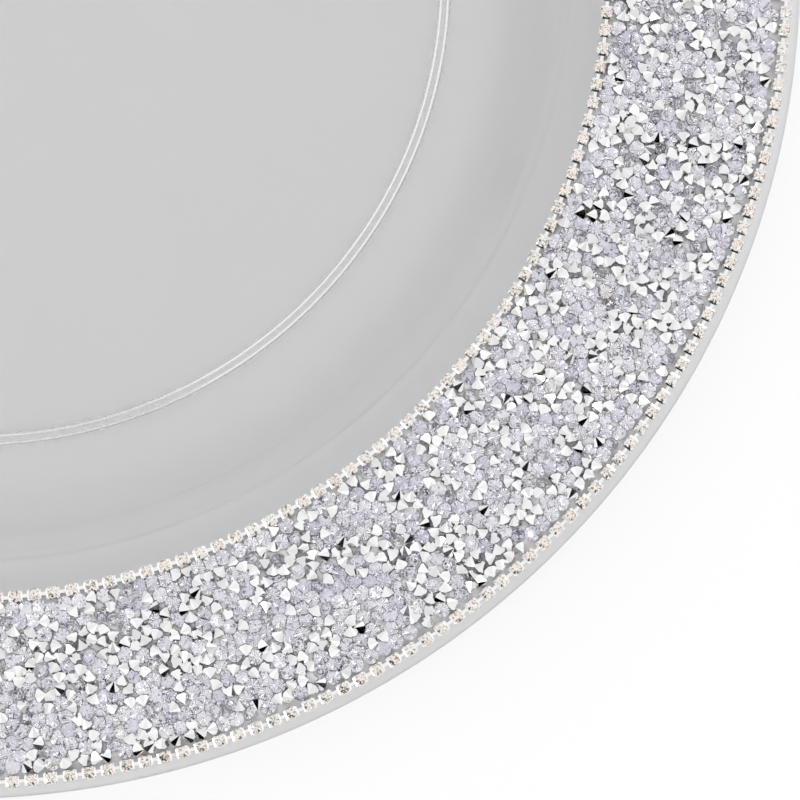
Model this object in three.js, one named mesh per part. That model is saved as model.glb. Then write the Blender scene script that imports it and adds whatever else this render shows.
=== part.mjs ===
// Glass serving plate with a crystal rim.
// A pressed clear glass plate carries a bed of clear adhesive on its flat rim. Small pointed stones are
// scattered in the bed, between an inner and an outer cup chain.
// Millimetres, +Z up. The origin is the middle of the foot's underside, on the table.

import * as THREE from 'three';

// Glass plate
const PLATE_RADIUS = 165;
const RIM_WIDTH = 41.6;
const WALL_RUN = 18.4;
const WELL_DEPTH = 11.6;
const GLASS_THICKNESS = 3.6;
const FLOOR_FILLET = 10;
const RIM_FILLET = 4.4;
const EDGE_RADIUS = 0.6;
const FOOT_INSET = 10.35;
const FOOT_WIDTH = 2;
const FOOT_CHAMFER = 0.6;
const FOOT_HEIGHT = 1.8;

// Adhesive bed and what is set in it
const LIP_WIDTH = 1.8;
const RIM_MARGIN = 2.1;
const BED_THICKNESS = 0.5;
const CUP_WIDTH = 2.5;
const CUP_HEIGHT = 2.2;
const LINK_LENGTH = 1.15;
const LINK_WIDTH = 0.8;
const LINK_HEIGHT = 0.7;
const CLUSTER_SIZE = 3.9;
const CRUST_HEIGHT = 1;
const POINT_RISE = 1.5;

// Clearances
const BAND_CLEARANCE = 0.4;
const END_CLEARANCE = 0.3;

// Angles, in degrees: how finely round shapes are stepped, and how much of the rim one node covers
const TURN_STEP = 5;
const WALL_STEP = 16;
const EDGE_STEP = 45;
const SECTOR_ANGLE = 15;
const RUN_ANGLE = 30;

// How unevenly the stones lie: how far a cluster strays, as a share of its size, and the lowest point's
// rise as a share of the highest
const STRAY = 0.2;
const LOWEST_RISE = 0.5;

// Colours
const GLASS_COLOUR = 0xdfe3e8;
const ADHESIVE_COLOUR = 0xc4c4cc;
const CRYSTAL_COLOUR = 0xe4e4ee;
const CHAIN_COLOUR = 0xeee6da;

// Heights and radii that follow from the driving dimensions
const floorTop = FOOT_HEIGHT + GLASS_THICKNESS;
const rimTop = floorTop + WELL_DEPTH;
const rimInner = PLATE_RADIUS - RIM_WIDTH;
const wellRadius = rimInner - WALL_RUN;
const footRadius = wellRadius - FOOT_INSET;
const bedTop = rimTop + BED_THICKNESS;
const bedInner = rimInner + RIM_MARGIN;
const bedOuter = PLATE_RADIUS - LIP_WIDTH;
const innerChainRadius = bedInner + CUP_WIDTH / 2;
const outerChainRadius = bedOuter - CUP_WIDTH / 2;
const sectors = Math.round(360 / SECTOR_ANGLE);
const chainRuns = Math.round(360 / RUN_ANGLE);

const plate = new THREE.Group();

function addPiece(name, geometry, colour, roughness, metalness) {
  const material = new THREE.MeshStandardMaterial({ color: colour, roughness, metalness });
  const mesh = new THREE.Mesh(geometry, material);
  mesh.name = name;
  plate.add(mesh);
  return mesh;
}

// Points of an arc in the plane of radius and height, both ends included.
function arc(centreRadius, centreHeight, radius, fromDegrees, toDegrees, stepDegrees) {
  const steps = Math.max(1, Math.round(Math.abs(toDegrees - fromDegrees) / stepDegrees));
  return Array.from({ length: steps + 1 }, (_, step) => {
    const degrees = fromDegrees + ((toDegrees - fromDegrees) * step) / steps;
    const angle = THREE.MathUtils.degToRad(degrees);
    const radial = centreRadius + radius * Math.cos(angle);
    return new THREE.Vector2(radial, centreHeight + radius * Math.sin(angle));
  });
}

// Turns a profile about the vertical axis.
function turned(profile) {
  const geometry = new THREE.LatheGeometry(profile, Math.round(360 / TURN_STEP));
  geometry.rotateX(Math.PI / 2);
  return geometry;
}

// The wall is two arcs with a straight slope between them, so its angle follows from its run, the well's
// depth and the two radii. The floor's fillet gives way where the wall is too short for it.
function glassProfile() {
  const rimBend = RIM_FILLET + GLASS_THICKNESS;
  const bendLimit = (WALL_RUN ** 2 + WELL_DEPTH ** 2) / (2 * WELL_DEPTH);
  const floorBend = Math.min(FLOOR_FILLET, bendLimit - rimBend);
  const bends = floorBend + rimBend;
  const reach = Math.hypot(WALL_RUN, WELL_DEPTH - bends);
  const slope = Math.atan2(WELL_DEPTH - bends, WALL_RUN) + Math.asin(Math.min(1, bends / reach));
  const slopeDegrees = THREE.MathUtils.radToDeg(slope);

  const floorBendHeight = floorTop + floorBend;
  const rimBendHeight = rimTop - rimBend;
  const edge = Math.min(EDGE_RADIUS, GLASS_THICKNESS / 2);
  const edgeCentre = PLATE_RADIUS - edge;
  const rimUnder = rimTop - GLASS_THICKNESS;
  const footInner = footRadius - FOOT_WIDTH / 2;
  const footOuter = footRadius + FOOT_WIDTH / 2;
  const underBend = floorBend + GLASS_THICKNESS;

  return [
    new THREE.Vector2(0, FOOT_HEIGHT),
    new THREE.Vector2(footInner, FOOT_HEIGHT),
    new THREE.Vector2(footInner, FOOT_CHAMFER),
    new THREE.Vector2(footInner + FOOT_CHAMFER, 0),
    new THREE.Vector2(footOuter - FOOT_CHAMFER, 0),
    new THREE.Vector2(footOuter, FOOT_CHAMFER),
    new THREE.Vector2(footOuter, FOOT_HEIGHT),
    ...arc(wellRadius, floorBendHeight, underBend, -90, -90 + slopeDegrees, WALL_STEP),
    ...arc(rimInner, rimBendHeight, RIM_FILLET, 90 + slopeDegrees, 90, WALL_STEP),
    ...arc(edgeCentre, rimUnder + edge, edge, -90, 0, EDGE_STEP),
    ...arc(edgeCentre, rimTop - edge, edge, 0, 90, EDGE_STEP),
    ...arc(rimInner, rimBendHeight, rimBend, 90, 90 + slopeDegrees, WALL_STEP),
    ...arc(wellRadius, floorBendHeight, floorBend, -90 + slopeDegrees, -90, WALL_STEP),
    new THREE.Vector2(0, floorTop),
  ];
}

function bedProfile() {
  return [
    new THREE.Vector2(bedInner, rimTop),
    new THREE.Vector2(bedOuter, rimTop),
    new THREE.Vector2(bedOuter, bedTop),
    new THREE.Vector2(bedInner, bedTop),
    new THREE.Vector2(bedInner, rimTop),
  ];
}

// A repeatable scatter between -1 and 1: each seed has a few draws of its own.
function scatter(seed, draw) {
  const draws = 5;
  return 2 * THREE.MathUtils.seededRandom(seed * draws + draw) - 1;
}

function solid(points, triangles) {
  const geometry = new THREE.BufferGeometry();
  geometry.setAttribute('position', new THREE.Float32BufferAttribute(points.flat(), 3));
  geometry.setIndex(triangles.flat());
  geometry.computeVertexNormals();
  return geometry;
}

function polarPoint(radius, angle, height) {
  return [radius * Math.cos(angle), radius * Math.sin(angle), height];
}

// One sector of the stones. Its top is a rough field of points, one for every two or three stones, and its
// underside is flat on the bed. It lies about +X until its mesh is turned into place.
function crystalSector(sector) {
  const innerRadius = innerChainRadius + CUP_WIDTH / 2 + BAND_CLEARANCE;
  const outerRadius = outerChainRadius - CUP_WIDTH / 2 - BAND_CLEARANCE;
  const middleRadius = (innerRadius + outerRadius) / 2;
  const halfAngle = Math.PI / sectors - END_CLEARANCE / 2 / innerRadius;
  const rows = Math.max(2, Math.round((outerRadius - innerRadius) / CLUSTER_SIZE));
  const columns = Math.max(2, Math.round((2 * halfAngle * middleRadius) / CLUSTER_SIZE));
  const rowStep = (outerRadius - innerRadius) / rows;
  const columnStep = (2 * halfAngle) / columns;
  const crustTop = bedTop + CRUST_HEIGHT;
  const points = [];
  const triangles = [];

  const corner = (row, column) => row * (columns + 1) + column;
  for (let row = 0; row <= rows; row += 1) {
    for (let column = 0; column <= columns; column += 1) {
      const onEdge = row === 0 || row === rows || column === 0 || column === columns;
      const seed = sector * corner(rows + 1, 0) + corner(row, column);
      const along = onEdge ? 0 : STRAY * scatter(seed, 0);
      const out = onEdge ? 0 : STRAY * scatter(seed, 1);
      const angle = -halfAngle + (column + along) * columnStep;
      points.push(polarPoint(innerRadius + (row + out) * rowStep, angle, crustTop));
    }
  }
  for (let row = 0; row < rows; row += 1) {
    for (let column = 0; column < columns; column += 1) {
      const seed = sector * corner(rows + 1, 0) + corner(row, column);
      const angle = -halfAngle + (column + 0.5 + STRAY * scatter(seed, 2)) * columnStep;
      const radius = innerRadius + (row + 0.5 + STRAY * scatter(seed, 3)) * rowStep;
      const rise = POINT_RISE * THREE.MathUtils.mapLinear(scatter(seed, 4), -1, 1, LOWEST_RISE, 1);
      const tip = points.length;
      points.push(polarPoint(radius, angle, crustTop + rise));
      const ring = [
        corner(row, column),
        corner(row + 1, column),
        corner(row + 1, column + 1),
        corner(row, column + 1),
      ];
      ring.forEach((from, side) => triangles.push([from, ring[(side + 1) % 4], tip]));
    }
  }

  const under = [0, rows].map((row) => {
    const start = points.length;
    for (let column = 0; column <= columns; column += 1) {
      const angle = -halfAngle + column * columnStep;
      points.push(polarPoint(innerRadius + row * rowStep, angle, bedTop));
    }
    return start;
  });
  const [inner, outer] = under;
  for (let column = 0; column < columns; column += 1) {
    const next = column + 1;
    triangles.push([inner + column, inner + next, outer + next]);
    triangles.push([inner + column, outer + next, outer + column]);
    triangles.push([inner + next, inner + column, corner(0, column)]);
    triangles.push([inner + next, corner(0, column), corner(0, next)]);
    triangles.push([outer + column, outer + next, corner(rows, next)]);
    triangles.push([outer + column, corner(rows, next), corner(rows, column)]);
  }
  for (let row = 0; row < rows; row += 1) {
    triangles.push([inner, corner(row + 1, 0), corner(row, 0)]);
    triangles.push([inner + columns, corner(row, columns), corner(row + 1, columns)]);
  }
  triangles.push([inner, outer, corner(rows, 0)]);
  triangles.push([inner + columns, corner(rows, columns), outer + columns]);
  return solid(points, triangles);
}

// One run of cup chain, flat on the bed: square cups with a ridged top, joined by links that narrow between
// them. It lies about +X until its mesh is turned into place.
function chainRun(radius) {
  const halfAngle = Math.PI / chainRuns - END_CLEARANCE / 2 / radius;
  const cups = Math.max(1, Math.round((2 * halfAngle * radius) / (CUP_WIDTH + LINK_LENGTH)));
  const pitchAngle = (2 * halfAngle) / cups;
  const cupHalf = CUP_WIDTH / 2 / radius;
  const points = [];
  const triangles = [];

  // Each cross-section is a triangle that stands on the bed.
  const addSection = (angle, width, height) => {
    points.push(polarPoint(radius - width / 2, angle, bedTop));
    points.push(polarPoint(radius + width / 2, angle, bedTop));
    points.push(polarPoint(radius, angle, bedTop + height));
  };
  addSection(-halfAngle, LINK_WIDTH, LINK_HEIGHT);
  for (let cup = 0; cup < cups; cup += 1) {
    const middle = -halfAngle + (cup + 0.5) * pitchAngle;
    addSection(middle - cupHalf, CUP_WIDTH, CUP_HEIGHT);
    addSection(middle + cupHalf, CUP_WIDTH, CUP_HEIGHT);
    addSection(middle + pitchAngle / 2, LINK_WIDTH, LINK_HEIGHT);
  }

  const last = points.length - 3;
  for (let here = 0; here < last; here += 3) {
    const next = here + 3;
    for (let side = 0; side < 3; side += 1) {
      const turn = (side + 1) % 3;
      triangles.push([here + side, next + side, next + turn]);
      triangles.push([here + side, next + turn, here + turn]);
    }
  }
  triangles.push([0, 1, 2]);
  triangles.push([last + 2, last + 1, last]);
  return solid(points, triangles);
}

function twoDigits(index) {
  return String(index + 1).padStart(2, '0');
}

addPiece('glass_plate', turned(glassProfile()), GLASS_COLOUR, 0.05, 0);
addPiece('adhesive_bed', turned(bedProfile()), ADHESIVE_COLOUR, 0.3, 0);

for (let sector = 0; sector < sectors; sector += 1) {
  const name = `crystal_sector_${twoDigits(sector)}`;
  const crystals = addPiece(name, crystalSector(sector), CRYSTAL_COLOUR, 0.1, 0.6);
  crystals.rotation.z = (2 * Math.PI * (sector + 0.5)) / sectors;
}

for (let run = 0; run < chainRuns; run += 1) {
  const turn = (2 * Math.PI * (run + 0.5)) / chainRuns;
  const innerName = `inner_chain_run_${twoDigits(run)}`;
  const innerRun = addPiece(innerName, chainRun(innerChainRadius), CHAIN_COLOUR, 0.2, 1);
  innerRun.rotation.z = turn;
  const outerName = `outer_chain_run_${twoDigits(run)}`;
  const outerRun = addPiece(outerName, chainRun(outerChainRadius), CHAIN_COLOUR, 0.2, 1);
  outerRun.rotation.z = turn;
}

export default plate;
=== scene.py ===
"""Glass serving plate with a crystal rim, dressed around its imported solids. Metres, +Z up."""
import math
import random

import bmesh
import bpy
import numpy as np
from mathutils import Euler, Matrix, Vector, kdtree, noise


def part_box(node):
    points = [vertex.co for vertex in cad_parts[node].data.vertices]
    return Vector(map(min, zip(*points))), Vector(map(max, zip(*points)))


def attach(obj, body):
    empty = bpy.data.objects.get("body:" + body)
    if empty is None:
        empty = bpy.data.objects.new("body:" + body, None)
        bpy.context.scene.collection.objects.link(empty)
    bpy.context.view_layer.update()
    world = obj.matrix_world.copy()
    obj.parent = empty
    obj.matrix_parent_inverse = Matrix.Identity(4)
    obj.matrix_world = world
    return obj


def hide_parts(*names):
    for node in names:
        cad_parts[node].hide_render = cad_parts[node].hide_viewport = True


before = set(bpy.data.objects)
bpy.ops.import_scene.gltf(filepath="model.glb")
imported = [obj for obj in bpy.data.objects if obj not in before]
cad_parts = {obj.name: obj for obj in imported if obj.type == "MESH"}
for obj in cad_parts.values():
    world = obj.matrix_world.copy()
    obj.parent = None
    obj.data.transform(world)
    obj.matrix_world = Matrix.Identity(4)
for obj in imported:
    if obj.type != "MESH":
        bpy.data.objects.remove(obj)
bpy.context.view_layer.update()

MM = 0.001


# Glass plate
# One piece of pressed clear glass: foot ring, flat well, sloped wall, flat rim and rounded edge. Its profile
# has the solid's own sizes, turned in far more steps and with its small corners rounded.
plate_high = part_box("glass_plate")[1]
PLATE_RADIUS = plate_high[0]
RIM_TOP = plate_high[2]
GLASS_THICKNESS = 3.6 * MM
RIM_WIDTH = 41.6 * MM
WALL_RUN = 18.4 * MM
WELL_DEPTH = 11.6 * MM
FLOOR_FILLET = 10 * MM
RIM_FILLET = 4.4 * MM
EDGE_FILLET = 0.6 * MM
FOOT_INSET = 10.35 * MM
FOOT_WIDTH = 2.0 * MM
FOOT_EDGE_FILLET = 0.78 * MM
FOOT_ROOT_FILLET = 0.85 * MM
FOOT_DRAFT = 0.3 * MM
GLASS_SIDES = 288

floor_top = RIM_TOP - WELL_DEPTH
foot_height = floor_top - GLASS_THICKNESS
rim_inner = PLATE_RADIUS - RIM_WIDTH
well_radius = rim_inner - WALL_RUN
foot_radius = well_radius - FOOT_INSET


def rounded(corners, step_degrees=6):
    """Points of an outline of (radius, height, fillet) corners, with an arc at each filleted corner."""
    points = []
    for index, (radius, height, fillet) in enumerate(corners):
        here = Vector((radius, height))
        if fillet == 0:
            points.append(here)
            continue
        back = (Vector(corners[index - 1][:2]) - here).normalized()
        ahead = (Vector(corners[index + 1][:2]) - here).normalized()
        half = back.angle(ahead) / 2
        turn = math.pi - 2 * half
        centre = here + (back + ahead).normalized() * fillet / math.sin(half)
        first = here + back * fillet / math.tan(half) - centre
        sign = math.copysign(1, back.x * ahead.y - back.y * ahead.x)
        steps = max(2, round(math.degrees(turn) / step_degrees))
        for step in range(steps + 1):
            points.append(centre + Matrix.Rotation(-sign * turn * step / steps, 2) @ first)
    return points


def turned(name, profile, sides, closed=False):
    """A mesh of revolution about Z. A point on the axis becomes one pole."""
    mesh = bmesh.new()
    rings = []
    for radius, height in profile:
        if radius < 1e-7:
            rings.append([mesh.verts.new((0, 0, height))] * sides)
            continue
        angles = [2 * math.pi * side / sides for side in range(sides)]
        rings.append([mesh.verts.new((radius * math.cos(a), radius * math.sin(a), height)) for a in angles])
    if closed:
        rings.append(rings[0])
    for lower, upper in zip(rings, rings[1:]):
        for side in range(sides):
            nearby = (side + 1) % sides
            ring = [lower[side], lower[nearby], upper[nearby], upper[side]]
            mesh.faces.new(list(dict.fromkeys(ring)))
    bmesh.ops.recalc_face_normals(mesh, faces=mesh.faces)
    data = bpy.data.meshes.new(name)
    mesh.to_mesh(data)
    mesh.free()
    data.shade_smooth()
    return data


def add_piece(name, data, slot, *nodes):
    """Puts a finished mesh in the scene in place of its CAD nodes."""
    piece = bpy.data.objects.new(name, data)
    bpy.context.scene.collection.objects.link(piece)
    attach(piece, "root")
    if nodes:
        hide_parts(*nodes)


def new_material(name):
    """A node material, with its tree and its Principled shader."""
    material = bpy.data.materials.new(name)
    material.use_nodes = True
    tree = material.node_tree
    return material, tree, tree.nodes["Principled BSDF"]


def mottling_group():
    """Shader group: soft cloudy unevenness on Object coordinates, from 0 to 1."""
    group = bpy.data.node_groups.new("Mottling", "ShaderNodeTree")
    for name, value in (("Scale", 100.0), ("Contrast", 1.0), ("Detail", 3.0), ("Middle", 0.5)):
        socket = group.interface.new_socket(name, in_out="INPUT", socket_type="NodeSocketFloat")
        socket.default_value = value
    group.interface.new_socket("Value", in_out="OUTPUT", socket_type="NodeSocketFloat")
    nodes, links = group.nodes, group.links
    inputs = nodes.new("NodeGroupInput")
    outputs = nodes.new("NodeGroupOutput")
    place = nodes.new("ShaderNodeTexCoord")
    clouds = nodes.new("ShaderNodeTexNoise")
    centred = nodes.new("ShaderNodeMath")
    centred.operation = "SUBTRACT"
    centred.inputs[1].default_value = 0.5
    spread = nodes.new("ShaderNodeMath")
    spread.operation = "MULTIPLY_ADD"
    spread.use_clamp = True
    links.new(place.outputs["Object"], clouds.inputs["Vector"])
    links.new(inputs.outputs["Scale"], clouds.inputs["Scale"])
    links.new(inputs.outputs["Detail"], clouds.inputs["Detail"])
    links.new(clouds.outputs["Fac"], centred.inputs[0])
    links.new(centred.outputs[0], spread.inputs[0])
    links.new(inputs.outputs["Contrast"], spread.inputs[1])
    links.new(inputs.outputs["Middle"], spread.inputs[2])
    links.new(spread.outputs[0], outputs.inputs["Value"])
    return group


mottling = mottling_group()


def mottled(tree, scale, contrast=1.0, detail=3.0, middle=0.5):
    """Places the mottling group in a material and returns its value."""
    node = tree.nodes.new("ShaderNodeGroup")
    node.node_tree = mottling
    node.inputs["Scale"].default_value = scale
    node.inputs["Contrast"].default_value = contrast
    node.inputs["Detail"].default_value = detail
    node.inputs["Middle"].default_value = middle
    return node.outputs["Value"]


def blended(tree, factor, first, second):
    """A colour between two, by a value from 0 to 1."""
    mix = tree.nodes.new("ShaderNodeMix")
    mix.data_type = "RGBA"
    mix.inputs[6].default_value = (*first, 1)
    mix.inputs[7].default_value = (*second, 1)
    tree.links.new(factor, mix.inputs[0])
    return mix.outputs[2]


def ranged(tree, value, low, high):
    """A value from 0 to 1, spread from low to high."""
    spread = tree.nodes.new("ShaderNodeMapRange")
    spread.inputs["To Min"].default_value = low
    spread.inputs["To Max"].default_value = high
    tree.links.new(value, spread.inputs["Value"])
    return spread.outputs["Result"]


def bumped(tree, shader, height, distance):
    """Gives a shader a bump of a real height."""
    bump = tree.nodes.new("ShaderNodeBump")
    bump.inputs["Distance"].default_value = distance
    tree.links.new(height, bump.inputs["Height"])
    tree.links.new(bump.outputs["Normal"], shader.inputs["Normal"])
    return bump


def glass_profile():
    """Half section of the plate, from the axis below to the axis above."""
    rim_bend = RIM_FILLET + GLASS_THICKNESS
    bends = FLOOR_FILLET + rim_bend
    reach = math.hypot(WALL_RUN, WELL_DEPTH - bends)
    slope = math.atan2(WELL_DEPTH - bends, WALL_RUN) + math.asin(bends / reach)
    lean = math.tan(slope / 2)
    under_bend = FLOOR_FILLET + GLASS_THICKNESS
    rim_under = RIM_TOP - GLASS_THICKNESS
    foot_inner = foot_radius - FOOT_WIDTH / 2
    foot_outer = foot_radius + FOOT_WIDTH / 2
    return rounded([
        (0, foot_height, 0),
        (foot_inner, foot_height, FOOT_ROOT_FILLET),
        (foot_inner + FOOT_DRAFT, 0, FOOT_EDGE_FILLET),
        (foot_outer - FOOT_DRAFT, 0, FOOT_EDGE_FILLET),
        (foot_outer, foot_height, FOOT_ROOT_FILLET),
        (well_radius + under_bend * lean, foot_height, under_bend),
        (rim_inner - RIM_FILLET * lean, rim_under, RIM_FILLET),
        (PLATE_RADIUS, rim_under, EDGE_FILLET),
        (PLATE_RADIUS, RIM_TOP, EDGE_FILLET),
        (rim_inner - rim_bend * lean, RIM_TOP, rim_bend),
        (well_radius + FLOOR_FILLET * lean, floor_top, FLOOR_FILLET),
        (0, floor_top, 0),
    ])


def clear_glass():
    material, tree, shader = new_material("clear_pressed_glass")
    shader.inputs["Transmission Weight"].default_value = 1
    shader.inputs["IOR"].default_value = 1.5
    tint = blended(tree, mottled(tree, 18), (0.948, 0.948, 0.952), (0.96, 0.96, 0.962))
    tree.links.new(tint, shader.inputs["Base Color"])
    tree.links.new(ranged(tree, mottled(tree, 60, 1.6), 0.0, 0.02), shader.inputs["Roughness"])
    bumped(tree, shader, mottled(tree, 25, 1.0, 1.0), 0.02 * MM)
    return material


plate_mesh = turned("glass_plate_turned", glass_profile(), GLASS_SIDES)
plate_mesh.materials.append(clear_glass())
add_piece("pressed_glass_plate", plate_mesh, "clear_glass", "glass_plate")


# Adhesive bed
# A film of clear adhesive spread by hand on the flat rim. It lies a little unevenly, in soft lumps between
# the stones, looks grey where it shows, and ends under the chains.
bed_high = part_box("adhesive_bed")[1]
BED_OUTER = bed_high[0]
BED_INNER = rim_inner + 2.1 * MM
BED_TOP = bed_high[2]
BED_SINK = 0.02 * MM
BED_LUMP = 0.16 * MM
BED_LUMP_SIZE = 2.6 * MM
BED_EDGE = 1.05 * MM
BED_SIDES = 1500
BED_ROWS = 60


def adhesive_mesh():
    """A ring whose top rises and falls softly. Its underside lies just in the glass."""
    base = RIM_TOP - BED_SINK
    inner = BED_INNER + BED_EDGE
    outer = BED_OUTER - BED_EDGE
    width = outer - inner
    profile = [Vector((inner + width * row / BED_ROWS, BED_TOP)) for row in range(BED_ROWS + 1)]
    profile += [Vector((outer, base)), Vector((inner, base))]
    data = turned("adhesive_bed_spread", profile, BED_SIDES, closed=True)
    for vertex in data.vertices:
        if vertex.co.z > base + BED_SINK:
            vertex.co.z += BED_LUMP * (noise.noise(vertex.co / BED_LUMP_SIZE) - 0.5)
    return data


def set_adhesive():
    material, tree, shader = new_material("set_adhesive")
    cloud = mottled(tree, 300, 1.5)
    tree.links.new(blended(tree, cloud, (0.93, 0.93, 0.94), (0.97, 0.97, 0.98)), shader.inputs["Base Color"])
    tree.links.new(ranged(tree, mottled(tree, 900), 0.15, 0.4), shader.inputs["Roughness"])
    bumped(tree, shader, mottled(tree, 1500, 1.0, 2.0), 0.08 * MM)
    return material


adhesive = adhesive_mesh()
adhesive.materials.append(set_adhesive())
add_piece("adhesive_film", adhesive, "adhesive", "adhesive_bed")


# Loose stones
# Glass stones with a pointed back of silver foil, strewn into the wet adhesive, which wells up between them.
# A little under half lie face up or nearly so, and the others lean with the foiled point up.
STONE = 3.0 * MM
STONE_AREA = 5.6 * MM * MM
STONE_SECTORS = 24
BAND_INNER = BED_INNER + 2.6 * MM
BAND_OUTER = BED_OUTER - 3.0 * MM
ROUND_BASE = RIM_TOP + 0.02 * MM
POINTED_BASE = BED_TOP + 0.1 * MM
STONE_LIFT = 0.3 * MM
FILM_UNDER_STONES = RIM_TOP + 0.05 * MM
FILM_RISE = 1.2 * MM
FACE_UP_SHARE = 0.34
SLUMPED_SHARE = 0.12
SHALLOW_SHARE = 0.16
FACE_UP_LEAN, FACE_UP_MOST = 10, 30
SLUMPED_LEANS = (20, 48)
POINTED_LEANS = (22, 70, 45)
ROUND_HALF, POINTED_HALF = 0.465, 0.40
TABLE_SHARE, CROWN_SHARE, GIRDLE_SHARE = 0.52, 0.37, 0.10
CUTS = {"Deep": 1.17, "Shallow": 0.95, "Pointed": 1.17}
POINTED = list(CUTS).index("Pointed")
STREW_SEED = 11
STREW_JITTER = 0.3
SETTLE_ROUNDS = 45
SETTLE_PUSH = 0.35
EDGE_KEEP = 0.8
FILM_CLEARANCE, FILM_SLOPE = 0.27, 0.2
FILM_FADE = 1 * MM
CLUMP_SIZE = 14 * MM
CLUMPING = 0.3


def cut_stone(name, diameter, depth_share):
    """A stone with a table, eight crown facets, a scalloped girdle and eight pavilion facets to a point.
    The faces behind the foil are marked by an attribute."""
    radius = diameter / 2
    table_radius = TABLE_SHARE * radius
    table_height = CROWN_SHARE * radius
    girdle_half = GIRDLE_SHARE * radius
    depth = depth_share * radius
    chord = math.cos(math.pi / 8)
    crown_slope = (table_height - girdle_half) / ((radius - table_radius) * chord)
    crown_dip = girdle_half - crown_slope * radius * (1 - chord)
    pavilion_rise = (depth - girdle_half) / chord - depth
    points = [(0, 0, -depth)]
    for side in range(8):
        angle = math.pi * side / 4
        points.append((table_radius * math.cos(angle), table_radius * math.sin(angle), table_height))
    for side in range(16):
        angle = math.pi * side / 8
        x, y = radius * math.cos(angle), radius * math.sin(angle)
        points.append((x, y, crown_dip if side % 2 else girdle_half))
        points.append((x, y, pavilion_rise if side % 2 else -girdle_half))
    upper = [9 + 2 * (side % 16) for side in range(18)]
    lower = [10 + 2 * (side % 16) for side in range(18)]
    faces = [list(range(1, 9))]
    for side in range(8):
        nearby = 1 + (side + 1) % 8
        rim = [upper[2 * side], upper[2 * side + 1], upper[2 * side + 2]]
        faces.append([1 + side, *rim, nearby])
    for side in range(16):
        faces.append([upper[side], lower[side], lower[side + 1], upper[side + 1]])
    for side in range(8):
        faces.append([0, lower[2 * side + 2], lower[2 * side + 1], lower[2 * side]])
    data = bpy.data.meshes.new(name)
    data.from_pydata(points, [], faces)
    behind_foil = data.attributes.new("foil", "BOOLEAN", "FACE")
    for face in data.polygons:
        behind_foil.data[face.index].value = 0 in face.vertices
    return data


def strewn_places(rng):
    """Places of the stones on the rim, pushed apart until they hardly overlap, and the lean of each.
    A lean of 0 degrees is face up and 180 is point up."""
    count = round(math.pi * (BAND_OUTER ** 2 - BAND_INNER ** 2) / STONE_AREA)
    places = []
    leans = []
    for index in range(count):
        share = (index + 0.5) / count
        radius = math.sqrt(BAND_INNER ** 2 + share * (BAND_OUTER ** 2 - BAND_INNER ** 2))
        angle = index * math.pi * (3 - math.sqrt(5))
        jitter = Vector((rng.gauss(0, 1), rng.gauss(0, 1), 0)) * STONE * STREW_JITTER
        places.append(Vector((radius * math.cos(angle), radius * math.sin(angle), 0)) + jitter)
        kind = rng.random() + CLUMPING * noise.noise(places[-1] / CLUMP_SIZE)
        if kind < FACE_UP_SHARE:
            leans.append(min(FACE_UP_MOST, abs(rng.gauss(0, FACE_UP_LEAN))))
        elif kind < FACE_UP_SHARE + SLUMPED_SHARE:
            leans.append(rng.uniform(*SLUMPED_LEANS))
        else:
            leans.append(180 - rng.triangular(*POINTED_LEANS))
    halves = [(ROUND_HALF if lean < 90 else POINTED_HALF) * STONE for lean in leans]
    for _ in range(SETTLE_ROUNDS):
        tree = kdtree.KDTree(count)
        for index, place in enumerate(places):
            tree.insert(place, index)
        tree.balance()
        moved = []
        for index, place in enumerate(places):
            push = Vector((0, 0, 0))
            for other, other_index, distance in tree.find_range(place, STONE):
                overlap = halves[index] + halves[other_index] - distance
                if other_index != index and overlap > 0 and distance > 0:
                    push += (place - other) / distance * overlap * SETTLE_PUSH
            settled = place + push
            nearest = BAND_INNER + halves[index] * EDGE_KEEP
            farthest = BAND_OUTER - halves[index] * EDGE_KEEP
            moved.append(settled.normalized() * min(max(settled.length, nearest), farthest))
        places = moved
    return places, leans


def strewn_stones():
    """The stones of each sector, as a place, a turn, a tint and the number of the stone's cut."""
    rng = random.Random(STREW_SEED)
    places, leans = strewn_places(rng)
    shapes = [np.array([vertex.co for vertex in stone.data.vertices]) for stone in cut_stones.values()]
    sectors = [[] for _ in range(STONE_SECTORS)]
    for place, lean in zip(places, leans):
        shallow = rng.random() < SHALLOW_SHARE
        cut = POINTED if lean > 90 else int(shallow)
        heading = Matrix.Rotation(rng.uniform(0, 2 * math.pi), 3, "Z")
        tip = Matrix.Rotation(math.radians(lean), 3, "X")
        spin = Matrix.Rotation(rng.uniform(0, 2 * math.pi), 3, "Z")
        turn = heading @ tip @ spin
        lowest = (shapes[cut] @ np.array(turn).T)[:, 2].min()
        seat = (POINTED_BASE if cut == POINTED else ROUND_BASE) + rng.uniform(0, STONE_LIFT) - lowest
        angle = math.atan2(place.y, place.x) % (2 * math.pi)
        sector = min(STONE_SECTORS - 1, int(angle / (2 * math.pi) * STONE_SECTORS))
        sectors[sector].append(((place.x, place.y, seat), turn.to_euler(), rng.random(), cut))
    return sectors


def press_into_film(sectors):
    """Lets the adhesive well up wherever it is clear of the face-up stones and of the chains."""
    stones = [place for stones in sectors for place, _, _, cut in stones if cut != POINTED]
    tree = kdtree.KDTree(len(stones))
    for index, (x, y, _) in enumerate(stones):
        tree.insert((x, y, 0), index)
    tree.balance()
    for vertex in adhesive.vertices:
        if vertex.co.z < RIM_TOP:
            continue
        level = Vector((vertex.co.x, vertex.co.y, 0))
        to_stone = tree.find(level)[2] - FILM_CLEARANCE * STONE
        to_chain = min(level.length - BAND_INNER, BAND_OUTER - level.length)
        clear_of_stones = max(0, min(1, to_stone / (FILM_SLOPE * STONE)))
        clear_of_chains = max(0, min(1, to_chain / FILM_FADE))
        raised = vertex.co.z + FILM_RISE * clear_of_chains
        vertex.co.z = FILM_UNDER_STONES + (raised - FILM_UNDER_STONES) * clear_of_stones


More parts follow.
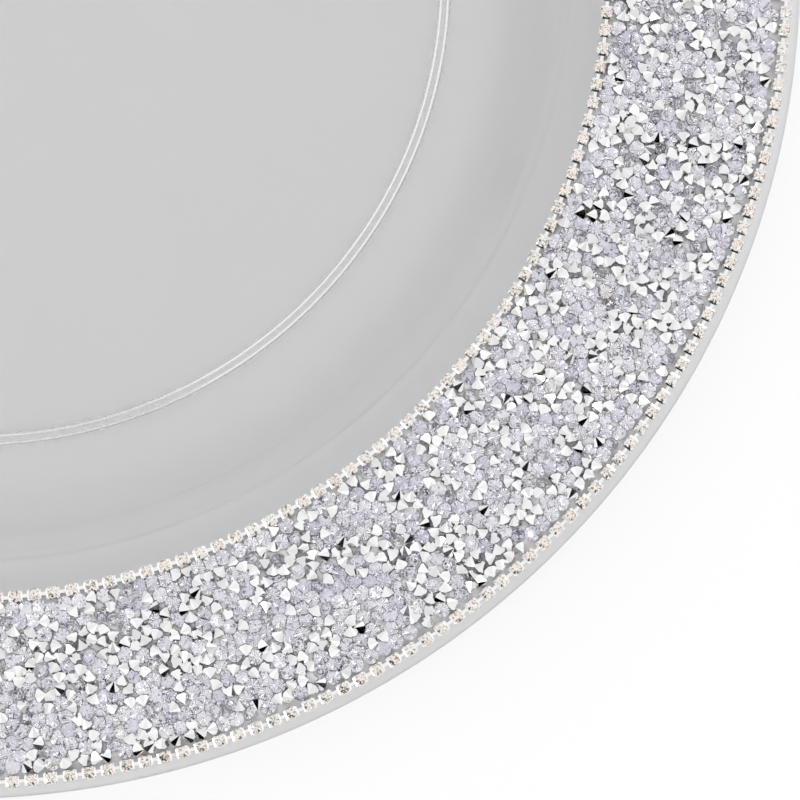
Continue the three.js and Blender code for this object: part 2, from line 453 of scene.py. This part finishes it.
def stones_tree():
    """Geometry nodes: a stone of the right cut on each point, turned as the point says."""
    tree = bpy.data.node_groups.new("Strewn stones", "GeometryNodeTree")
    tree.interface.new_socket("Geometry", in_out="INPUT", socket_type="NodeSocketGeometry")
    for name in CUTS:
        tree.interface.new_socket(name, in_out="INPUT", socket_type="NodeSocketObject")
    tree.interface.new_socket("Glass", in_out="INPUT", socket_type="NodeSocketMaterial")
    tree.interface.new_socket("Foil", in_out="INPUT", socket_type="NodeSocketMaterial")
    tree.interface.new_socket("Geometry", in_out="OUTPUT", socket_type="NodeSocketGeometry")
    nodes, links = tree.nodes, tree.links
    inputs = nodes.new("NodeGroupInput")
    turn = nodes.new("GeometryNodeInputNamedAttribute")
    turn.data_type = "FLOAT_VECTOR"
    turn.inputs["Name"].default_value = "turn"
    rotation = nodes.new("FunctionNodeEulerToRotation")
    cut = nodes.new("GeometryNodeInputNamedAttribute")
    cut.data_type = "INT"
    cut.inputs["Name"].default_value = "cut"
    joined = nodes.new("GeometryNodeJoinGeometry")
    links.new(turn.outputs["Attribute"], rotation.inputs["Euler"])
    for number, name in enumerate(CUTS):
        chosen = nodes.new("FunctionNodeCompare")
        chosen.data_type = "INT"
        chosen.operation = "EQUAL"
        chosen.inputs["B"].default_value = number
        stone = nodes.new("GeometryNodeObjectInfo")
        copies = nodes.new("GeometryNodeInstanceOnPoints")
        links.new(cut.outputs["Attribute"], chosen.inputs["A"])
        links.new(inputs.outputs[name], stone.inputs["Object"])
        links.new(inputs.outputs["Geometry"], copies.inputs["Points"])
        links.new(chosen.outputs["Result"], copies.inputs["Selection"])
        links.new(stone.outputs["Geometry"], copies.inputs["Instance"])
        links.new(rotation.outputs["Rotation"], copies.inputs["Rotation"])
        links.new(copies.outputs["Instances"], joined.inputs["Geometry"])
    finish_in_materials(tree, inputs, joined.outputs["Geometry"])
    return tree


def finish_in_materials(tree, inputs, instances):
    """Ends a tree: the copies become one mesh in glass, with foil on the faces that have it."""
    nodes, links = tree.nodes, tree.links
    realized = nodes.new("GeometryNodeRealizeInstances")
    in_glass = nodes.new("GeometryNodeSetMaterial")
    in_foil = nodes.new("GeometryNodeSetMaterial")
    behind = nodes.new("GeometryNodeInputNamedAttribute")
    behind.data_type = "BOOLEAN"
    behind.inputs["Name"].default_value = "foil"
    outputs = nodes.new("NodeGroupOutput")
    links.new(instances, realized.inputs["Geometry"])
    links.new(realized.outputs["Geometry"], in_glass.inputs["Geometry"])
    links.new(inputs.outputs["Glass"], in_glass.inputs["Material"])
    links.new(in_glass.outputs["Geometry"], in_foil.inputs["Geometry"])
    links.new(behind.outputs["Attribute"], in_foil.inputs["Selection"])
    links.new(inputs.outputs["Foil"], in_foil.inputs["Material"])
    links.new(in_foil.outputs["Geometry"], outputs.inputs["Geometry"])


def grown(name, data, tree, **values):
    """Runs a geometry tree on a mesh with named inputs and returns the result as a plain mesh."""
    seedling = bpy.data.objects.new(name + "_points", data)
    bpy.context.scene.collection.objects.link(seedling)
    modifier = seedling.modifiers.new("Grow", "NODES")
    modifier.node_group = tree
    for socket in tree.interface.items_tree:
        if socket.in_out == "INPUT" and socket.name in values:
            modifier[socket.identifier] = values[socket.name]
    depsgraph = bpy.context.evaluated_depsgraph_get()
    mesh = bpy.data.meshes.new_from_object(seedling.evaluated_get(depsgraph), depsgraph=depsgraph)
    mesh.name = name
    bpy.data.objects.remove(seedling)
    for spent in ("turn", "cut", "foil"):
        if spent in mesh.attributes:
            mesh.attributes.remove(mesh.attributes[spent])
    return mesh


def stone_tint(tree, *colours):
    """A colour of its own for each stone, between a few."""
    tint = tree.nodes.new("ShaderNodeAttribute")
    tint.attribute_name = "tint"
    ramp = tree.nodes.new("ShaderNodeValToRGB")
    while len(ramp.color_ramp.elements) < len(colours):
        ramp.color_ramp.elements.new(0.5)
    for element, (place, colour) in zip(ramp.color_ramp.elements, colours):
        element.position = place
        element.color = (*colour, 1)
    tree.links.new(tint.outputs["Fac"], ramp.inputs["Fac"])
    return ramp.outputs["Color"]


def stone_glass():
    material, tree, shader = new_material("stone_glass")
    shader.inputs["Transmission Weight"].default_value = 1
    shader.inputs["IOR"].default_value = 1.54
    tint = stone_tint(tree, (0, (0.78, 0.77, 0.90)), (0.2, (0.89, 0.878, 0.973)), (1, (0.95, 0.938, 0.996)))
    tree.links.new(tint, shader.inputs["Base Color"])
    tree.links.new(ranged(tree, mottled(tree, 2500, 1.5), 0.0, 0.012), shader.inputs["Roughness"])
    return material


def silver_foil():
    """Satin outside, and finely uneven where it is seen through the glass."""
    material, tree, shader = new_material("silver_foil")
    shader.inputs["Metallic"].default_value = 1
    tint = stone_tint(tree, (0, (0.93, 0.93, 0.925)), (0.97, (0.965, 0.965, 0.96)), (1, (0.95, 0.93, 0.90)))
    tree.links.new(tint, shader.inputs["Base Color"])
    tree.links.new(ranged(tree, mottled(tree, 2000, 1.4), 0.04, 0.1), shader.inputs["Roughness"])
    bump = bumped(tree, shader, mottled(tree, 3500, 1.0, 1.0), 0.02 * MM)
    side = tree.nodes.new("ShaderNodeNewGeometry")
    tree.links.new(side.outputs["Backfacing"], bump.inputs["Strength"])
    return material


cut_stones = {}
for name, depth_share in CUTS.items():
    cut_stones[name] = bpy.data.objects.new(name, cut_stone(name, STONE, depth_share))
    bpy.context.scene.collection.objects.link(cut_stones[name])
strewn = {**cut_stones, "Glass": stone_glass(), "Foil": silver_foil()}
strewn_tree = stones_tree()
strewn_sectors = strewn_stones()
press_into_film(strewn_sectors)
for sector, stones in enumerate(strewn_sectors):
    points = bpy.data.meshes.new("stone_points")
    points.from_pydata([place for place, _, _, _ in stones], [], [])
    turns = points.attributes.new("turn", "FLOAT_VECTOR", "POINT")
    turns.data.foreach_set("vector", [part for _, turn, _, _ in stones for part in turn])
    tints = points.attributes.new("tint", "FLOAT", "POINT")
    tints.data.foreach_set("value", [tint for _, _, tint, _ in stones])
    cuts = points.attributes.new("cut", "INT", "POINT")
    cuts.data.foreach_set("value", [cut for _, _, _, cut in stones])
    name = f"loose_stones_{sector + 1:02d}"
    mesh = grown(name, points, strewn_tree, **strewn)
    add_piece(name, mesh, "crystal", f"crystal_sector_{sector + 1:02d}")
for stone in cut_stones.values():
    bpy.data.objects.remove(stone)


# Cup chains
# A stamped strip of small square cups, silver plated, joined by narrow link bars, one at each edge of the
# stones. Four claws in each cup hold a pale champagne stone. The cups stand on the rim, over the film's edge.
CUP_WIDTH = 2.5 * MM
CUP_LENGTH = 2.7 * MM
LINK_LENGTH = 1.15 * MM
LINK_WIDTH = 0.8 * MM
CUP_STONE = 2.15 * MM
CUP_RUNS = 12
CUP_STONE_DEPTH = 1.0
CUP_STONE_HEIGHT = 1.75 * MM
CHAIN_BASE = RIM_TOP + 0.1 * MM
CHAIN_SEED = 5
STRIP_WOBBLE = (0.05, 0.05, 0.02)
CUP_STONE_WOBBLE = (0.09, 0.09, 3.1)
# A cup's wall from the bottom, over its lip and down inside, in mm: inset across, inset along, height.
CUP_WALL = [(0.18, 0.28, 0), (0.04, 0.02, 0.8), (0.04, 0, 1.39), (0.14, 0.38, 1.49), (0.20, 0.42, 0.8)]
CUP_CORNER = 0.3
# A claw from its root to its tip, in mm: distance from the cup's middle each way, height, half width.
CLAW = [(0.94, 1.3, 0.30), (0.94, 1.85, 0.30), (0.86, 2.2, 0.27), (0.76, 2.32, 0.12)]
CLAW_SECTION = [(1, 0), (0.7, 0.7), (0, 1), (-0.7, 0.7), (-1, 0), (-0.7, -0.7), (0, -1), (0.7, -0.7)]
# The section of a link bar: share of its width, height in mm.
LINK_SECTION = [(0.5, 0.9), (0.5, 1.2), (0.42, 1.32), (-0.42, 1.32), (-0.5, 1.2), (-0.5, 0.9)]
LINK_OVERLAP = 0.1
CHAIN_RADII = {"inner": BED_INNER + CUP_WIDTH / 2, "outer": BED_OUTER - CUP_WIDTH / 2}


def square_loop(mesh, half, half_along, height):
    """A level loop of a cup, in mm, with cut corners. The chain runs along Y."""
    across, along = half - CUP_CORNER, half_along - CUP_CORNER
    spots = [(half, -along), (half, along), (across, half_along), (-across, half_along)]
    spots += [(-half, along), (-half, -along), (-across, -half_along), (across, -half_along)]
    return [mesh.verts.new((x * MM, y * MM, height * MM)) for x, y in spots]


def claw_loop(mesh, x, y, height, width):
    """A level loop of a claw, in mm."""
    spots = [(x + across * width, y + along * width) for across, along in CLAW_SECTION]
    return [mesh.verts.new((spot_x * MM, spot_y * MM, height * MM)) for spot_x, spot_y in spots]


def skin(mesh, loops):
    """Closes a row of loops into one solid."""
    for lower, upper in zip(loops, loops[1:]):
        for side in range(len(lower)):
            nearby = (side + 1) % len(lower)
            mesh.faces.new((lower[side], lower[nearby], upper[nearby], upper[side]))
    mesh.faces.new(list(reversed(loops[0])))
    mesh.faces.new(loops[-1])


def cup_with_link(pitch):
    """One cup with its claws, and the link bar that joins it to the next cup."""
    mesh = bmesh.new()
    half = CUP_WIDTH / MM / 2
    end = CUP_LENGTH / MM / 2
    skin(mesh, [
        square_loop(mesh, half - inset, end - inset_along, height) for inset, inset_along, height in CUP_WALL
    ])
    for side_x in (-1, 1):
        for side_y in (-1, 1):
            loops = []
            for reach, height, width in CLAW:
                loops.append(claw_loop(mesh, side_x * reach, side_y * reach, height, width))
            skin(mesh, loops)
    loops = []
    for along in ((end - LINK_OVERLAP) * MM, pitch - (end - LINK_OVERLAP) * MM):
        loops.append([mesh.verts.new((x * LINK_WIDTH, along, z * MM)) for x, z in LINK_SECTION])
    skin(mesh, loops)
    bmesh.ops.recalc_face_normals(mesh, faces=mesh.faces)
    data = bpy.data.meshes.new("one_cup")
    mesh.to_mesh(data)
    mesh.free()
    return data


def ring_tree():
    """Geometry nodes: copies of a piece round a ring, each wobbling a little on its own place."""
    tree = bpy.data.node_groups.new("Ring of copies", "GeometryNodeTree")
    tree.interface.new_socket("Geometry", in_out="INPUT", socket_type="NodeSocketGeometry")
    tree.interface.new_socket("Piece", in_out="INPUT", socket_type="NodeSocketObject")
    tree.interface.new_socket("Copies", in_out="INPUT", socket_type="NodeSocketInt")
    tree.interface.new_socket("Radius", in_out="INPUT", socket_type="NodeSocketFloat")
    tree.interface.new_socket("Height", in_out="INPUT", socket_type="NodeSocketFloat")
    tree.interface.new_socket("Wobble", in_out="INPUT", socket_type="NodeSocketVector")
    tree.interface.new_socket("Seed", in_out="INPUT", socket_type="NodeSocketInt")
    tree.interface.new_socket("Glass", in_out="INPUT", socket_type="NodeSocketMaterial")
    tree.interface.new_socket("Foil", in_out="INPUT", socket_type="NodeSocketMaterial")
    tree.interface.new_socket("Geometry", in_out="OUTPUT", socket_type="NodeSocketGeometry")
    nodes, links = tree.nodes, tree.links
    inputs = nodes.new("NodeGroupInput")
    piece = nodes.new("GeometryNodeObjectInfo")
    places = nodes.new("GeometryNodePoints")
    index = nodes.new("GeometryNodeInputIndex")
    share = nodes.new("ShaderNodeMath")
    share.operation = "DIVIDE"
    angle = nodes.new("ShaderNodeMath")
    angle.operation = "MULTIPLY"
    angle.inputs[1].default_value = 2 * math.pi
    arm = nodes.new("ShaderNodeCombineXYZ")
    swing = nodes.new("ShaderNodeCombineXYZ")
    round_ring = nodes.new("ShaderNodeVectorRotate")
    round_ring.rotation_type = "Z_AXIS"
    moved = nodes.new("GeometryNodeSetPosition")
    reverse = nodes.new("ShaderNodeVectorMath")
    reverse.operation = "SCALE"
    reverse.inputs["Scale"].default_value = -1
    wobble = nodes.new("FunctionNodeRandomValue")
    wobble.data_type = "FLOAT_VECTOR"
    added = nodes.new("ShaderNodeVectorMath")
    added.operation = "ADD"
    rotation = nodes.new("FunctionNodeEulerToRotation")
    tint = nodes.new("FunctionNodeRandomValue")
    stored = nodes.new("GeometryNodeStoreNamedAttribute")
    stored.inputs["Name"].default_value = "tint"
    copies = nodes.new("GeometryNodeInstanceOnPoints")
    links.new(inputs.outputs["Piece"], piece.inputs["Object"])
    links.new(inputs.outputs["Copies"], places.inputs["Count"])
    links.new(index.outputs["Index"], share.inputs[0])
    links.new(inputs.outputs["Copies"], share.inputs[1])
    links.new(share.outputs[0], angle.inputs[0])
    links.new(inputs.outputs["Radius"], arm.inputs["X"])
    links.new(inputs.outputs["Height"], arm.inputs["Z"])
    links.new(arm.outputs[0], round_ring.inputs["Vector"])
    links.new(angle.outputs[0], round_ring.inputs["Angle"])
    links.new(places.outputs[0], moved.inputs["Geometry"])
    links.new(round_ring.outputs[0], moved.inputs["Position"])
    links.new(angle.outputs[0], swing.inputs["Z"])
    links.new(inputs.outputs["Wobble"], reverse.inputs[0])
    links.new(reverse.outputs[0], wobble.inputs[0])
    links.new(inputs.outputs["Wobble"], wobble.inputs[1])
    links.new(inputs.outputs["Seed"], wobble.inputs["Seed"])
    links.new(swing.outputs[0], added.inputs[0])
    links.new(wobble.outputs[0], added.inputs[1])
    links.new(added.outputs[0], rotation.inputs["Euler"])
    links.new(inputs.outputs["Seed"], tint.inputs["Seed"])
    links.new(moved.outputs[0], stored.inputs["Geometry"])
    links.new(tint.outputs[1], stored.inputs["Value"])
    links.new(stored.outputs[0], copies.inputs["Points"])
    links.new(piece.outputs["Geometry"], copies.inputs["Instance"])
    links.new(rotation.outputs["Rotation"], copies.inputs["Rotation"])
    finish_in_materials(tree, inputs, copies.outputs["Instances"])
    return tree


def silver_plate():
    material, tree, shader = new_material("silver_plate")
    shader.inputs["Metallic"].default_value = 1
    wear = mottled(tree, 700, 1.6)
    tree.links.new(blended(tree, wear, (0.96, 0.945, 0.92), (0.99, 0.985, 0.97)), shader.inputs["Base Color"])
    tree.links.new(ranged(tree, mottled(tree, 1800, 1.4), 0.06, 0.2), shader.inputs["Roughness"])
    bumped(tree, shader, mottled(tree, 1500, 1.0, 2.0), 0.01 * MM)
    return material


def champagne_glass():
    material, tree, shader = new_material("champagne_glass")
    shader.inputs["Transmission Weight"].default_value = 1
    shader.inputs["IOR"].default_value = 1.54
    tint = stone_tint(tree, (0, (0.995, 0.98, 0.96)), (1, (1.0, 0.995, 0.985)))
    tree.links.new(tint, shader.inputs["Base Color"])
    tree.links.new(ranged(tree, mottled(tree, 2500, 1.5), 0.0, 0.04), shader.inputs["Roughness"])
    return material


def champagne_foil():
    material, tree, shader = new_material("champagne_foil")
    shader.inputs["Metallic"].default_value = 1
    tint = stone_tint(tree, (0, (1.0, 0.96, 0.925)), (1, (1.0, 0.98, 0.96)))
    # Painted reflections: small dark brown spots, laid at random into the foil's colour, stand in for the
    # dark reflections that the stone's facets show.
    painted_dark_reflections = tree.nodes.new("ShaderNodeMix")
    painted_dark_reflections.data_type = "RGBA"
    painted_dark_reflections.inputs[6].default_value = (0.08, 0.045, 0.025, 1)
    tree.links.new(mottled(tree, 2600, 14.0, 1.0, 2.7), painted_dark_reflections.inputs[0])
    tree.links.new(tint, painted_dark_reflections.inputs[7])
    tree.links.new(painted_dark_reflections.outputs[2], shader.inputs["Base Color"])
    tree.links.new(ranged(tree, mottled(tree, 2000, 1.4), 0.04, 0.12), shader.inputs["Roughness"])
    return material


copies_tree = ring_tree()
plated = silver_plate()
glass_of_cups = champagne_glass()
foil_of_cups = champagne_foil()
for chain, (place, radius) in enumerate(CHAIN_RADII.items()):
    cups = CUP_RUNS * round(2 * math.pi * radius / CUP_RUNS / (CUP_WIDTH + LINK_LENGTH))
    pitch = 2 * math.pi * radius / cups
    cup = bpy.data.objects.new("one_cup", cup_with_link(pitch))
    stone = bpy.data.objects.new("one_cup_stone", cut_stone("one_cup_stone", CUP_STONE, CUP_STONE_DEPTH))
    bpy.context.scene.collection.objects.link(cup)
    bpy.context.scene.collection.objects.link(stone)
    ring = {"Copies": cups, "Radius": radius, "Seed": CHAIN_SEED + chain}
    strip_mesh = grown(
        f"{place}_chain_strip", bpy.data.meshes.new("no_points"), copies_tree, **ring,
        Piece=cup, Height=CHAIN_BASE, Wobble=STRIP_WOBBLE, Glass=plated, Foil=plated,
    )
    runs = [f"{place}_chain_run_{run + 1:02d}" for run in range(CUP_RUNS)]
    add_piece(f"{place}_chain_strip", strip_mesh, "chain_metal", *runs)
    stones_mesh = grown(
        f"{place}_chain_stones", bpy.data.meshes.new("no_points"), copies_tree, **ring,
        Piece=stone, Height=CHAIN_BASE + CUP_STONE_HEIGHT, Wobble=CUP_STONE_WOBBLE,
        Glass=glass_of_cups, Foil=foil_of_cups,
    )
    add_piece(f"{place}_chain_stones", stones_mesh, "crystal")
    bpy.data.objects.remove(cup)
    bpy.data.objects.remove(stone)


# Table, light and camera
# A plain white table under a pale studio dome of soft panels. The dome is a little greyer straight above, and
# has two dark gaps, which the foil shows as black, and two small lamps. The camera sees plain white behind.
TABLE_SIZE = 6.0
TABLE_DROP = 0.05 * MM
TABLE_GLOW = (0.82, 0.82, 0.82)
TABLE_LEFT_TO_SHADOW = (0.2, 0.2, 0.2)
GLOW_THROUGH_GLASS = (0.13, 0.13, 0.13)
NO_GLOW = (0, 0, 0)
DOME_GAP, DOME_PANEL = (0.78, 0.78, 0.79), (1.06, 1.06, 1.06)
DOME_PANELS, DOME_TURN = 4, 0.7
DOME_ABOVE, ABOVE_DEGREES = (0.92, 0.92, 0.93), (14, 30)
DOME_DARK = (0, 0, 0)
HIGH_GAP, HIGH_GAP_DEGREES = (-0.05, -0.34, 1), (10, 11)
LOW_GAP, LOW_GAP_DEGREES = (-0.35, -1, 0.3), (16, 17)
DOME_LAMP, LAMP_DEGREES = (6, 6, 6), (1, 5)
RIGHT_LAMP, LEFT_LAMP = (0.5, 0.6, 0.9), (-0.6, -0.3, 1.1)
BACKDROP = (1, 1, 1)
CAMERA_PLACE = Vector((83.2, -134.0, 492.1)) * MM
CAMERA_TURN = (math.radians(5.54), math.radians(-0.26), 0)
CAMERA_LENS = 110
CAMERA_SENSOR = 36
CAMERA_NEAR = 10 * MM

table = bpy.data.meshes.new("table_top")
reach = TABLE_SIZE / 2
table.from_pydata(
    [(-reach, -reach, -TABLE_DROP), (reach, -reach, -TABLE_DROP), (reach, reach, -TABLE_DROP),
     (-reach, reach, -TABLE_DROP)],
    [], [(0, 1, 2, 3)],
)
table_top = bpy.data.objects.new("table_top", table)
bpy.context.scene.collection.objects.link(table_top)
white_table, table_tree, table_shader = new_material("white_table")
table_shader.inputs["Roughness"].default_value = 0.9
table_shader.inputs["Specular IOR Level"].default_value = 0.1
paper = blended(table_tree, mottled(table_tree, 400), (0.95, 0.95, 0.95), (0.97, 0.97, 0.97))
ray = table_tree.nodes.new("ShaderNodeLightPath")


def by_ray(kind, otherwise, colour):
    """One colour for one kind of ray, and another for the rest. Each is a socket or a plain colour."""
    mix = table_tree.nodes.new("ShaderNodeMix")
    mix.data_type = "RGBA"
    table_tree.links.new(ray.outputs[kind], mix.inputs[0])
    for place, value in ((6, otherwise), (7, colour)):
        if isinstance(value, tuple):
            mix.inputs[place].default_value = (*value, 1)
        else:
            table_tree.links.new(value, mix.inputs[place])
    return mix.outputs[2]


through_glass = by_ray("Is Transmission Ray", NO_GLOW, GLOW_THROUGH_GLASS)
own_light = by_ray("Is Camera Ray", through_glass, TABLE_GLOW)
in_shadow = by_ray("Is Camera Ray", paper, TABLE_LEFT_TO_SHADOW)
table_tree.links.new(in_shadow, table_shader.inputs["Base Color"])
table_tree.links.new(own_light, table_shader.inputs["Emission Color"])
table_shader.inputs["Emission Strength"].default_value = 1
table.materials.append(white_table)

world = bpy.data.worlds.new("studio_dome")
bpy.context.scene.world = world
world.use_nodes = True
sky = world.node_tree
background = sky.nodes["Background"]
direction = sky.nodes.new("ShaderNodeTexCoord")


def patch(towards, inner_degrees, outer_degrees):
    """A round patch of the dome: 1 within the inner angle from a direction, 0 beyond the outer one."""
    toward = sky.nodes.new("ShaderNodeVectorMath")
    toward.operation = "DOT_PRODUCT"
    toward.inputs[1].default_value = Vector(towards).normalized()
    edge = sky.nodes.new("ShaderNodeMapRange")
    edge.interpolation_type = "SMOOTHSTEP"
    edge.inputs["From Min"].default_value = math.cos(math.radians(outer_degrees))
    edge.inputs["From Max"].default_value = math.cos(math.radians(inner_degrees))
    sky.links.new(direction.outputs["Generated"], toward.inputs[0])
    sky.links.new(toward.outputs["Value"], edge.inputs["Value"])
    return edge.outputs["Result"]


def over(under, factor, colour):
    """Lays a colour over the dome by a factor from 0 to 1."""
    mix = sky.nodes.new("ShaderNodeMix")
    mix.data_type = "RGBA"
    mix.inputs[7].default_value = (*colour, 1)
    sky.links.new(factor, mix.inputs[0])
    sky.links.new(under, mix.inputs[6])
    return mix.outputs[2]


parts = sky.nodes.new("ShaderNodeSeparateXYZ")
azimuth = sky.nodes.new("ShaderNodeMath")
azimuth.operation = "ARCTAN2"
around = sky.nodes.new("ShaderNodeMath")
around.operation = "MULTIPLY_ADD"
around.inputs[1].default_value = DOME_PANELS
around.inputs[2].default_value = DOME_TURN
panels = sky.nodes.new("ShaderNodeMath")
panels.operation = "SINE"
sky.links.new(direction.outputs["Generated"], parts.inputs[0])
sky.links.new(parts.outputs["Y"], azimuth.inputs[0])
sky.links.new(parts.outputs["X"], azimuth.inputs[1])
sky.links.new(azimuth.outputs[0], around.inputs[0])
sky.links.new(around.outputs[0], panels.inputs[0])
gaps = sky.nodes.new("ShaderNodeRGB")
gaps.outputs[0].default_value = (*DOME_GAP, 1)
lit = sky.nodes.new("ShaderNodeMapRange")
lit.inputs["From Min"].default_value = -1
sky.links.new(panels.outputs[0], lit.inputs["Value"])
shade = over(gaps.outputs[0], lit.outputs["Result"], DOME_PANEL)
shade = over(shade, patch((0, 0, 1), *ABOVE_DEGREES), DOME_ABOVE)
shade = over(shade, patch(HIGH_GAP, *HIGH_GAP_DEGREES), DOME_DARK)
shade = over(shade, patch(LOW_GAP, *LOW_GAP_DEGREES), DOME_DARK)
for lamp in (RIGHT_LAMP, LEFT_LAMP):
    shade = over(shade, patch(lamp, *LAMP_DEGREES), DOME_LAMP)
shade = over(shade, sky.nodes.new("ShaderNodeLightPath").outputs["Is Camera Ray"], BACKDROP)
sky.links.new(shade, background.inputs["Color"])
background.inputs["Strength"].default_value = 1

lens = bpy.data.cameras.new("studio_camera")
lens.lens = CAMERA_LENS
lens.sensor_width = CAMERA_SENSOR
lens.clip_start = CAMERA_NEAR
camera = bpy.data.objects.new("studio_camera", lens)
camera.location = CAMERA_PLACE
camera.rotation_euler = Euler(CAMERA_TURN)
bpy.context.scene.collection.objects.link(camera)
bpy.context.scene.camera = camera
bpy.context.scene.view_settings.view_transform = "Standard"
bpy.context.scene.cycles.max_bounces = 16
bpy.context.scene.cycles.glossy_bounces = 10
bpy.context.scene.cycles.transmission_bounces = 16
